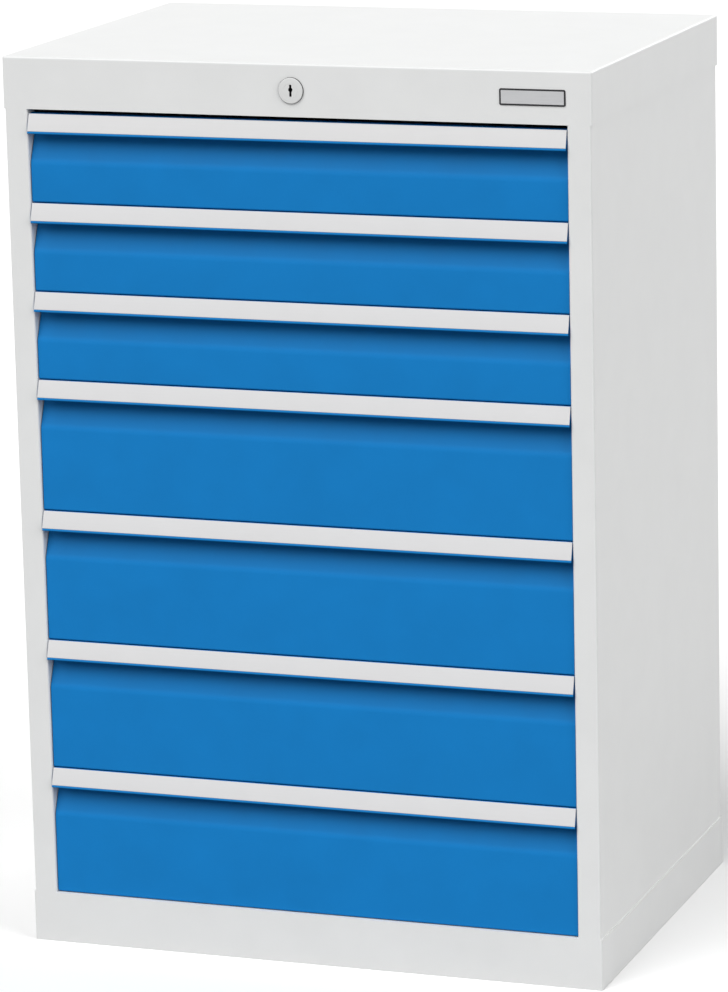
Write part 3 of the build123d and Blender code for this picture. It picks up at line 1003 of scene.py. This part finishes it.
@dataclass(frozen=True)
class Wall:
    """One upright wall of a tray, given by its outer face."""

    along: Axis
    place: float
    span: tuple[float, float]
    heights: tuple[float, float]
    outward: float

    @property
    def across(self) -> Axis:
        """Return the horizontal axis that the wall faces along."""
        return Axis.Y if self.along is Axis.X else Axis.X

    def point(self, run: float, height: float) -> Vector:
        """Return the point of the outer face at a run and a height."""
        return self.along.direction * run + self.across.direction * self.place + Axis.Z.direction * height


@dataclass
class Drawer:
    """One drawer: its slotted tray, the runner members on it and its lock catch."""

    number: int
    finishes: FinishShelf
    sheet: float = 1.0 * MM
    slot_pitch: float = 25.0 * MM
    slot_width: float = 2.2 * MM
    slot_foot: float = 12.0 * MM
    slot_head: float = 14.0 * MM
    hem_height: float = 8.0 * MM
    hem_radius: float = 0.9 * MM

    @property
    def body(self) -> str:
        """Return the name of the drawer's body, which also starts its nodes' names."""
        return f"drawer_{self.number}"

    def _slots(self, low: float, high: float) -> list[tuple[float, float]]:
        """Work out where a wall's slots start and end.

        Args:
            low: The wall's low end.
            high: The wall's high end.

        Returns:
            The two edges of each slot, spaced evenly about the wall's middle.
        """
        count = int((high - low) / self.slot_pitch) - 1
        middle = (low + high) / 2
        centres = [middle + (i - (count - 1) / 2) * self.slot_pitch for i in range(count)]
        return [(c - self.slot_width / 2, c + self.slot_width / 2) for c in centres]

    def _wall(self, piece: Piece, wall: Wall, slot_heights: tuple[float, float]) -> None:
        """Add one slotted wall, with its thickness inward from its outer face.

        Args:
            piece: The piece that gets the wall.
            wall: Where the wall is.
            slot_heights: Where its slots start and end.
        """
        sheet = bmesh.new()
        foot, head = wall.heights
        corners = [wall.point(wall.span[0], foot), wall.point(wall.span[1], foot),
                   wall.point(wall.span[1], head), wall.point(wall.span[0], head)]
        sheet.faces.new([sheet.verts.new(corner) for corner in corners])
        slots = self._slots(*wall.span)
        cuts = [(wall.point(edge, 0.0), wall.along.direction) for slot in slots for edge in slot]
        cuts += [(wall.point(0.0, row), Axis.Z.direction) for row in slot_heights]
        for at, normal in cuts:
            geometry = sheet.verts[:] + sheet.edges[:] + sheet.faces[:]
            bmesh.ops.bisect_plane(sheet, geom=geometry, plane_co=at, plane_no=normal)
        holes = []
        for face in sheet.faces:
            centre = face.calc_center_median()
            run = centre[wall.along.value]
            if slot_heights[0] < centre.z < slot_heights[1] and any(a < run < b for a, b in slots):
                holes.append(face)
        bmesh.ops.delete(sheet, geom=holes, context="FACES")
        piece.thicken(sheet, self.sheet, wall.across.direction * wall.outward)

    def tray(self) -> None:
        """Build the tray from slotted walls, a floor and rounded hems."""
        node = f"{self.body}_tray"
        low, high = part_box(node)
        left, right = low.x + self.sheet, high.x - self.sheet
        front, rear = low.y, high.y - self.sheet
        inner = (left + self.sheet, right - self.sheet)
        hem_foot = high.z - self.hem_height
        under_hem = (low.z, hem_foot + self.hem_radius)
        slot_heights = (low.z + self.slot_foot, high.z - self.slot_head)
        piece = Piece(f"{self.body}_slotted_tray")
        for wall in (
            Wall(Axis.Y, left, (front, rear), under_hem, -1.0),
            Wall(Axis.Y, right, (front, rear), under_hem, 1.0),
            Wall(Axis.X, front, inner, (low.z, high.z), -1.0),
            Wall(Axis.X, rear, inner, under_hem, 1.0),
        ):
            self._wall(piece, wall, slot_heights)
        piece.box((inner[0], front + self.sheet, low.z), (inner[1], rear - self.sheet, low.z + self.sheet))
        for hem_low, hem_high in (
            ((low.x, front), (inner[0], high.y)),
            ((inner[1], front), (high.x, high.y)),
            ((inner[0], rear - self.sheet), (inner[1], high.y)),
        ):
            piece.box((*hem_low, hem_foot), (*hem_high, high.z), self.hem_radius)
        piece.finish(self.finishes.tray_coat, self.body, [node])

    def build(self) -> None:
        """Make everything that belongs to the drawer."""
        dress(self.finishes.zinc, f"{self.body}_runners", f"{self.body}_lock_catch")
        self.tray()


@dataclass
class MiddleRunners:
    """The two middle members of one drawer's runners, with the ball cages that run on them."""

    number: int
    finishes: FinishShelf
    sheet: float = 1.2 * MM
    lip: float = 2.5 * MM
    fold_radius: float = 1.5 * MM
    tray_hem: float = 1.0 * MM
    mouth_gap: float = 1.6 * MM
    cage_side_gap: float = 0.8 * MM
    outer_cage: float = 4.0 * MM
    inner_cage: float = 3.3 * MM
    cage_sheet: float = 0.8 * MM
    cage_edge: float = 0.2 * MM
    ball_gap: float = 0.05 * MM
    ball_pitch: float = 15.0 * MM
    end_margin: float = 9.0 * MM

    def __post_init__(self) -> None:
        """Name the members' body and find where the members lie and how high they are."""
        self.body = f"drawer_{self.number}_middle"
        self.low, self.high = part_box(f"{self.body}_runners")
        self.level = (self.low.z + self.high.z) / 2
        self.half = (self.high.z - self.low.z) / 2 - self.outer_cage
        _, tray_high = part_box(f"drawer_{self.number}_tray")
        self.mouth_edge = tray_high.x - self.tray_hem + self.mouth_gap

    def _member(self, piece: Piece, side: float) -> None:
        """Add one member, folded to a C with its lips towards the drawer.

        Args:
            piece: The piece that gets the member.
            side: The sign of X on the member's side.
        """
        half, mouth = self.half, self.half - self.sheet - self.lip
        outline = [(self.mouth_edge, mouth), (self.mouth_edge, half), (self.high.x, half),
                   (self.high.x, -half), (self.mouth_edge, -half), (self.mouth_edge, -mouth)]
        points = [Vector((side * x, self.low.y, self.level + z)) for x, z in outline]
        radii = [0.0] + [self.fold_radius] * 4 + [0.0]
        piece.folded_sheet(points, radii, Axis.Y.direction * (self.high.y - self.low.y), self.sheet,
                           Axis.X.direction * side)

    def _cage(self, cages: Piece, balls: Piece, low: Vector, high: Vector) -> None:
        """Add one flat cage with its row of balls.

        Args:
            cages: The piece that gets the cage.
            balls: The piece that gets the balls.
            low: The lowest corner of the room between the tracks.
            high: The highest corner of that room.
        """
        middle = (low + high) / 2
        half = Axis.Z.direction * self.cage_sheet / 2
        cages.box(Vector((low.x, low.y, middle.z)) - half, Vector((high.x, high.y, middle.z)) + half,
                  self.cage_edge, 1)
        count = int((high.y - low.y - 2 * self.end_margin) / self.ball_pitch) + 1
        first = middle - Axis.Y.direction * self.ball_pitch * (count - 1) / 2
        balls.ball_row(first, (high.z - low.z) / 2 - self.ball_gap, Axis.Y.direction * self.ball_pitch, count)

    def build(self) -> None:
        """Make the members, the cages and the balls."""
        lips = self.mouth_edge + self.sheet + self.cage_side_gap
        web = self.high.x - self.sheet - self.cage_side_gap
        tracks = ((self.half + self.outer_cage / 2, self.outer_cage, self.high.x),
                  (self.half - self.sheet - self.inner_cage / 2, self.inner_cage, web))
        members = Piece(f"{self.body}_members")
        balls = Piece(f"drawer_{self.number}_ball_rows")
        for side in (-1.0, 1.0):
            self._member(members, side)
            for up in (-1.0, 1.0):
                for rise, room, back in tracks:
                    left, right = sorted((side * lips, side * back))
                    level = self.level + up * rise
                    self._cage(members, balls, Vector((left, self.low.y, level - room / 2)),
                               Vector((right, self.high.y, level + room / 2)))
        members.finish(self.finishes.zinc, self.body, [f"{self.body}_runners"])
        balls.finish(self.finishes.ball_steel, self.body)


@dataclass(frozen=True)
class SoftLamp:
    """A broad studio lamp, far away, so that its light is even."""

    name: str
    towards: tuple[float, float, float]
    level: float
    spread: float = math.radians(40)

    def build(self) -> None:
        """Add the lamp."""
        data = bpy.data.lights.new(self.name, "SUN")
        data.energy = self.level * math.pi
        data.angle = self.spread
        lamp = bpy.data.objects.new(self.name, data)
        lamp.rotation_mode = "QUATERNION"
        lamp.rotation_quaternion = Vector(self.towards).to_track_quat("Z", "Y")
        bpy.context.scene.collection.objects.link(lamp)


@dataclass
class Studio:
    """Pale floor, soft light and the camera at the photograph's angle."""

    floor_half: float = 40.0
    floor_segments: int = 4
    floor_drop: float = 0.2 * MM
    floor_seen: Colour = (0.97, 0.97, 0.97)
    floor_bounce: Colour = (0.40, 0.40, 0.40)
    ambient: float = 0.20
    sky: Colour = (1.0, 1.0, 1.0)
    lamps: tuple[SoftLamp, ...] = (
        SoftLamp("key_lamp", (-0.28, -0.60, 0.75), 0.845, math.radians(55)),
        SoftLamp("side_lamp", (0.85, -0.30, 0.43), 0.425),
        SoftLamp("back_lamp", (0.25, 0.85, 0.33), 0.38),
    )
    camera_place: tuple[float, float, float] = (1.8101, -5.0012, 1.6980)
    camera_yaw: float = math.radians(19.205)
    camera_pitch: float = math.radians(-12.336)
    camera_roll: float = math.radians(-1.140)
    camera_reach: float = 200.0
    sensor: float = 36.0
    lens: float = 171.92
    shift: tuple[float, float] = (-0.0692, -0.0432)

    def floor(self) -> None:
        """Add a pale floor that the camera sees as white, with the cabinet's shadow on it."""
        tree = ShaderTree(bpy.data.materials.new("studio_floor"))
        colour = tree.mix(tree.seen(), opaque(self.floor_bounce), opaque(self.floor_seen))
        material = tree.surface({"Base Color": colour, "Roughness": 1.0, "Specular IOR Level": 0.0})
        piece = Piece("floor")
        bmesh.ops.create_grid(piece.mesh, x_segments=self.floor_segments, y_segments=self.floor_segments,
                              size=self.floor_half, matrix=Matrix.Translation((0.0, 0.0, -self.floor_drop)))
        piece.show(material)

    def world(self) -> None:
        """Set even light from all round, which the camera sees as white."""
        world = bpy.data.worlds.new("studio")
        bpy.context.scene.world = world
        tree = ShaderTree(world)
        strength = tree.signal("ShaderNodeMapRange", "Result", {},
                               {"Value": tree.seen(), "To Min": self.ambient, "To Max": 1.0})
        light = tree.signal("ShaderNodeBackground", "Background", {},
                            {"Color": opaque(self.sky), "Strength": strength})
        tree.add("ShaderNodeOutputWorld", {}, {"Surface": light})

    def camera(self) -> None:
        """Add the camera where the photograph's perspective puts it."""
        data = bpy.data.cameras.new("camera")
        data.sensor_width = self.sensor
        data.lens = self.lens
        data.shift_x, data.shift_y = self.shift
        data.clip_end = self.camera_reach
        turn = Matrix.Rotation(self.camera_yaw, 4, "Z")
        tilt = Matrix.Rotation(math.pi / 2 + self.camera_pitch, 4, "X")
        roll = Matrix.Rotation(self.camera_roll, 4, "Z")
        camera = bpy.data.objects.new("camera", data)
        camera.matrix_world = Matrix.Translation(self.camera_place) @ turn @ tilt @ roll
        bpy.context.scene.collection.objects.link(camera)
        bpy.context.scene.camera = camera

    def build(self) -> None:
        """Make the studio."""
        self.floor()
        self.world()
        for lamp in self.lamps:
            lamp.build()
        self.camera()
        bpy.context.scene.view_settings.view_transform = "Standard"


def main() -> None:
    """Build the cabinet's looks and the studio, in order."""
    logging.basicConfig(level=logging.INFO, format="%(name)s: %(message)s")
    front_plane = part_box("top_cover")[0].y
    core_low, core_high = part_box("lock_core")
    finishes = FinishShelf((core_low + core_high) / 2, core_low.y, front_plane + DrawerFront.set_back)
    Housing(finishes).build()
    CentralLock(finishes).build()
    NamePlate(finishes).build()
    for number in range(1, DRAWER_COUNT + 1):
        DrawerFront(number, finishes, front_plane).build()
        Drawer(number, finishes).build()
        MiddleRunners(number, finishes).build()
    Studio().build()


if __name__ == "__main__":
    main()
